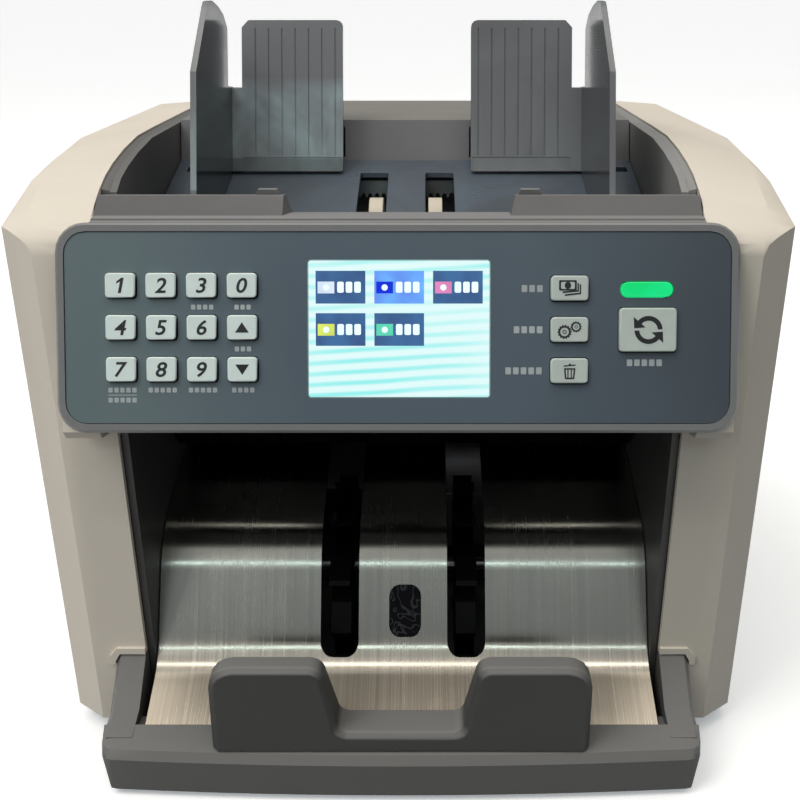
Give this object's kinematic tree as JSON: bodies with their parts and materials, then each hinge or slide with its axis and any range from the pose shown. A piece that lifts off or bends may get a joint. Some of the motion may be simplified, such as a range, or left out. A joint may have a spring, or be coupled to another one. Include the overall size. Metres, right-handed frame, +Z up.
{
  "type": "banknote counting machine",
  "caption": "Desktop banknote counter with top hopper, sliding note guides, tilted control panel with keys and screen, finger wheels and a steel stacker pocket.",
  "frame": {"origin": "middle of the machine's bounding box, on the table that the feet stand on", "axes": "+X to the machine's right-hand side as its user sees it, +Y to its back, +Z up"},
  "size_m": [0.29, 0.2624, 0.2988],
  "materials": {
    "cover": "fine textured satin",
    "casing": "fine textured satin",
    "bezel": "satin",
    "overlay": "glossy film",
    "guide": "polished",
    "key": "satin",
    "screen": "lit display",
    "light": "lit lens",
    "steel": "brushed",
    "black": "polished",
    "rubber": "matte",
    "amber": "matte",
    "aluminium": "satin",
    "board": "satin",
    "white_plastic": "satin"
  },
  "bodies": {
    "chassis": {"left_side_cover": "cover", "right_side_cover": "cover", "base": "casing", "note_stop": "casing", "left_side_frame": "casing", "right_side_frame": "casing", "hopper_front_cover": "casing", "rear_housing": "casing", "panel_bezel": "bezel", "panel_overlay": "overlay", "hopper_feed_plate": "guide", "display_screen": "screen", "status_light": "light", "stacker_plate": "steel", "sensor_window": "black", "front_sensor_guide": "black", "rear_sensor_guide": "black", "power_inlet": "black", "drive_belt": "rubber", "pickup_belt": "rubber", "foot_front_left": "rubber", "foot_front_right": "rubber", "foot_back_left": "rubber", "foot_back_right": "rubber", "drive_motor": "aluminium", "power_supply": "aluminium", "main_board": "board", "keypad_board": "board"},
    "key_1": {"key_1": "key"},
    "key_2": {"key_2": "key"},
    "key_3": {"key_3": "key"},
    "key_0": {"key_0": "key"},
    "key_4": {"key_4": "key"},
    "key_5": {"key_5": "key"},
    "key_6": {"key_6": "key"},
    "key_up": {"key_up": "key"},
    "key_7": {"key_7": "key"},
    "key_8": {"key_8": "key"},
    "key_9": {"key_9": "key"},
    "key_down": {"key_down": "key"},
    "key_currency": {"key_currency": "key"},
    "key_mode": {"key_mode": "key"},
    "key_clear": {"key_clear": "key"},
    "key_start": {"key_start": "key"},
    "left_guide": {"left_note_guide": "guide"},
    "right_guide": {"right_note_guide": "guide"},
    "pinion": {"guide_pinion": "white_plastic"},
    "pickup": {"pickup_roller": "amber", "pickup_pulley": "white_plastic"},
    "feed": {"feed_shaft": "aluminium", "feed_drum": "rubber", "feed_pulley": "white_plastic"},
    "retard": {"retard_roller": "rubber"},
    "stacker": {"stacker_shaft": "aluminium", "left_stacker_wheel": "black", "right_stacker_wheel": "black", "stacker_pulley": "white_plastic"},
    "motor_rotor": {"motor_pulley": "aluminium"},
    "door": {"rear_door": "casing"},
    "rocker": {"power_switch": "black"}
  },
  "joints": [
    {"name": "key_1_press", "type": "slide", "parent": "chassis", "child": "key_1", "axis": [0, 0.9398, -0.3416], "range_m": [0, 0.001], "stiffness_N_per_m": 300, "springref_m": -0.001},
    {"name": "key_2_press", "type": "slide", "parent": "chassis", "child": "key_2", "axis": [0, 0.9398, -0.3416], "range_m": [0, 0.001], "stiffness_N_per_m": 300, "springref_m": -0.001},
    {"name": "key_3_press", "type": "slide", "parent": "chassis", "child": "key_3", "axis": [0, 0.9398, -0.3416], "range_m": [0, 0.001], "stiffness_N_per_m": 300, "springref_m": -0.001},
    {"name": "key_0_press", "type": "slide", "parent": "chassis", "child": "key_0", "axis": [0, 0.9398, -0.3416], "range_m": [0, 0.001], "stiffness_N_per_m": 300, "springref_m": -0.001},
    {"name": "key_4_press", "type": "slide", "parent": "chassis", "child": "key_4", "axis": [0, 0.9398, -0.3416], "range_m": [0, 0.001], "stiffness_N_per_m": 300, "springref_m": -0.001},
    {"name": "key_5_press", "type": "slide", "parent": "chassis", "child": "key_5", "axis": [0, 0.9398, -0.3416], "range_m": [0, 0.001], "stiffness_N_per_m": 300, "springref_m": -0.001},
    {"name": "key_6_press", "type": "slide", "parent": "chassis", "child": "key_6", "axis": [0, 0.9398, -0.3416], "range_m": [0, 0.001], "stiffness_N_per_m": 300, "springref_m": -0.001},
    {"name": "key_up_press", "type": "slide", "parent": "chassis", "child": "key_up", "axis": [0, 0.9398, -0.3416], "range_m": [0, 0.001], "stiffness_N_per_m": 300, "springref_m": -0.001},
    {"name": "key_7_press", "type": "slide", "parent": "chassis", "child": "key_7", "axis": [0, 0.9398, -0.3416], "range_m": [0, 0.001], "stiffness_N_per_m": 300, "springref_m": -0.001},
    {"name": "key_8_press", "type": "slide", "parent": "chassis", "child": "key_8", "axis": [0, 0.9398, -0.3416], "range_m": [0, 0.001], "stiffness_N_per_m": 300, "springref_m": -0.001},
    {"name": "key_9_press", "type": "slide", "parent": "chassis", "child": "key_9", "axis": [0, 0.9398, -0.3416], "range_m": [0, 0.001], "stiffness_N_per_m": 300, "springref_m": -0.001},
    {"name": "key_down_press", "type": "slide", "parent": "chassis", "child": "key_down", "axis": [0, 0.9398, -0.3416], "range_m": [0, 0.001], "stiffness_N_per_m": 300, "springref_m": -0.001},
    {"name": "key_currency_press", "type": "slide", "parent": "chassis", "child": "key_currency", "axis": [0, 0.9398, -0.3416], "range_m": [0, 0.001], "stiffness_N_per_m": 300, "springref_m": -0.001},
    {"name": "key_mode_press", "type": "slide", "parent": "chassis", "child": "key_mode", "axis": [0, 0.9398, -0.3416], "range_m": [0, 0.001], "stiffness_N_per_m": 300, "springref_m": -0.001},
    {"name": "key_clear_press", "type": "slide", "parent": "chassis", "child": "key_clear", "axis": [0, 0.9398, -0.3416], "range_m": [0, 0.001], "stiffness_N_per_m": 300, "springref_m": -0.001},
    {"name": "key_start_press", "type": "slide", "parent": "chassis", "child": "key_start", "axis": [0, 0.9398, -0.3416], "range_m": [0, 0.001], "stiffness_N_per_m": 400, "springref_m": -0.001},
    {"name": "left_guide_slide", "type": "slide", "parent": "chassis", "child": "left_guide", "axis": [1, 0, 0], "range_m": [-0.02, 0.025]},
    {"name": "right_guide_slide", "type": "slide", "parent": "chassis", "child": "right_guide", "axis": [-1, 0, 0], "range_m": [-0.02, 0.025]},
    {"name": "pinion_spin", "type": "hinge", "parent": "chassis", "child": "pinion", "pos_m": [0.0012, 0.02655, 0.206], "axis": [0, 1, 0], "range_deg": [-180, 180]},
    {"name": "feed_spin", "type": "hinge", "parent": "chassis", "child": "feed", "pos_m": [0, -0.03875, 0.184], "axis": [1, 0, 0], "continuous": true},
    {"name": "pickup_spin", "type": "hinge", "parent": "chassis", "child": "pickup", "pos_m": [0, -0.00575, 0.2059], "axis": [1, 0, 0], "continuous": true},
    {"name": "stacker_spin", "type": "hinge", "parent": "chassis", "child": "stacker", "pos_m": [0, -0.03475, 0.052], "axis": [1, 0, 0], "continuous": true},
    {"name": "motor_spin", "type": "hinge", "parent": "chassis", "child": "motor_rotor", "pos_m": [0, 0.06925, 0.05], "axis": [1, 0, 0], "continuous": true},
    {"name": "retard_spin", "type": "hinge", "parent": "chassis", "child": "retard", "pos_m": [0, -0.06075, 0.1985], "axis": [1, 0, 0], "continuous": true},
    {"name": "rear_door_hinge", "type": "hinge", "parent": "chassis", "child": "door", "pos_m": [0, 0.12625, 0.088], "axis": [-1, 0, 0], "range_deg": [0, 80]},
    {"name": "power_switch_rock", "type": "hinge", "parent": "chassis", "child": "rocker", "pos_m": [0.038, 0.12605, 0.034], "axis": [1, 0, 0], "range_deg": [-12, 0]}
  ],
  "couplings": [
    {"joint": "right_guide_slide", "follows": "left_guide_slide", "ratio": 1},
    {"joint": "pinion_spin", "follows": "left_guide_slide", "rad_per_m": 125},
    {"joint": "pickup_spin", "follows": "feed_spin", "ratio": 1},
    {"joint": "stacker_spin", "follows": "feed_spin", "ratio": 1.1667},
    {"joint": "motor_spin", "follows": "feed_spin", "ratio": 1.75}
  ]
}
